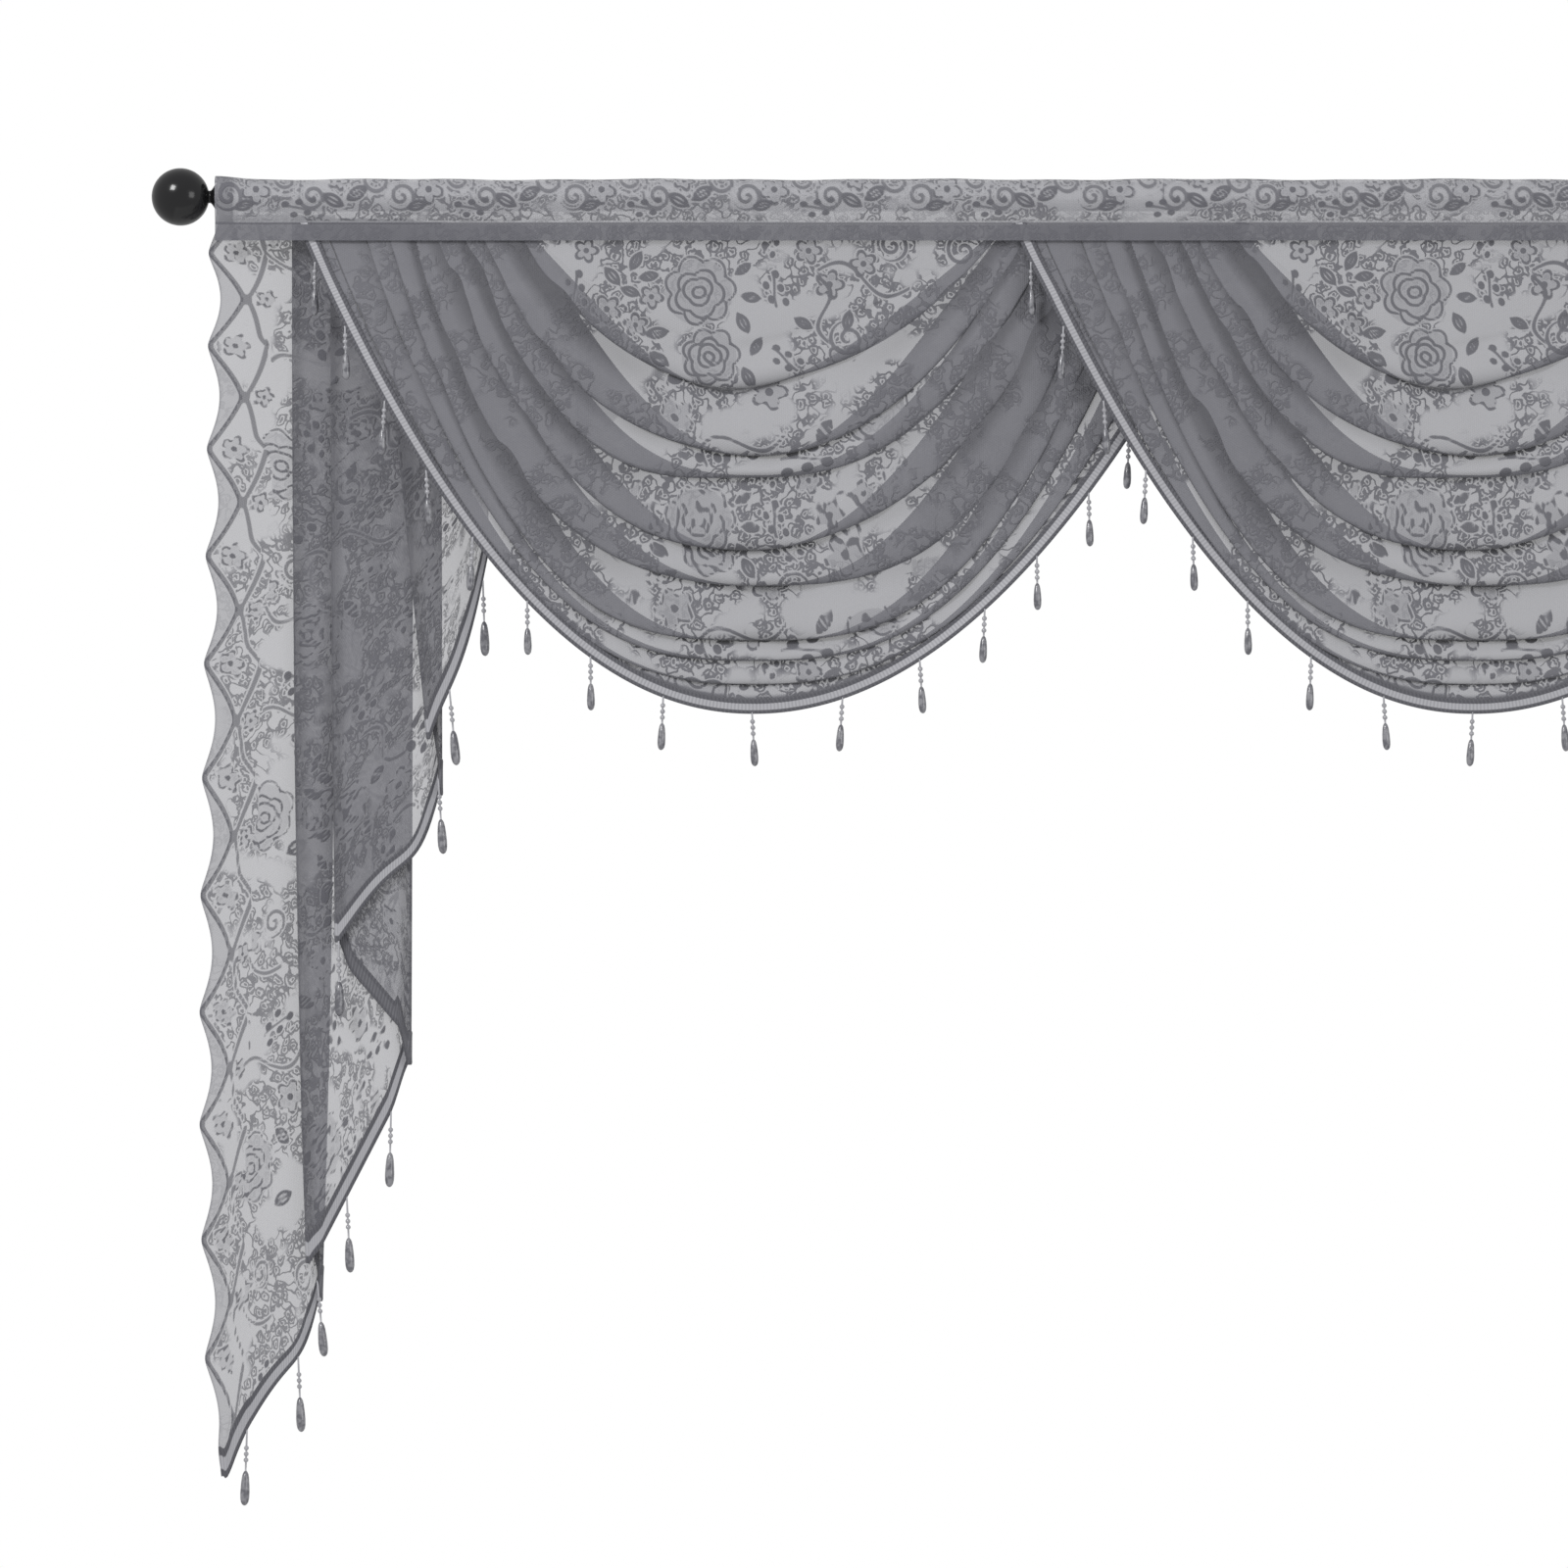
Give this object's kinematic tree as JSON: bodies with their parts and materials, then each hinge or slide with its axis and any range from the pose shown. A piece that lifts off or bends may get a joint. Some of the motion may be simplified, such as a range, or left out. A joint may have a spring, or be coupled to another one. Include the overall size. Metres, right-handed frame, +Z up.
{
  "type": "swag valance on a rod",
  "caption": "Lace swag valance with pleated side cascades and bead-drop braid, hanging by its rod pocket from a plain rod with ball finials.",
  "frame": {"origin": "middle of the rod, on its axis", "axes": "+X along the rod to the viewer's right, -Y towards the room, +Z up"},
  "size_m": [1.4868, 0.0931, 1.0331],
  "materials": {
    "lace": "sheer knitted lace, matte",
    "trim": "satin braid with glossy bead drops",
    "black_metal": "gloss black"
  },
  "bodies": {
    "root": {"rod": "black_metal", "finial_left": "black_metal", "finial_right": "black_metal", "heading": "lace", "swag_left": "lace", "swag_right": "lace", "cascade_left": "lace", "cascade_right": "lace", "swag_left_trim": "trim", "swag_right_trim": "trim", "cascade_left_trim": "trim", "cascade_right_trim": "trim"}
  },
  "joints": []
}
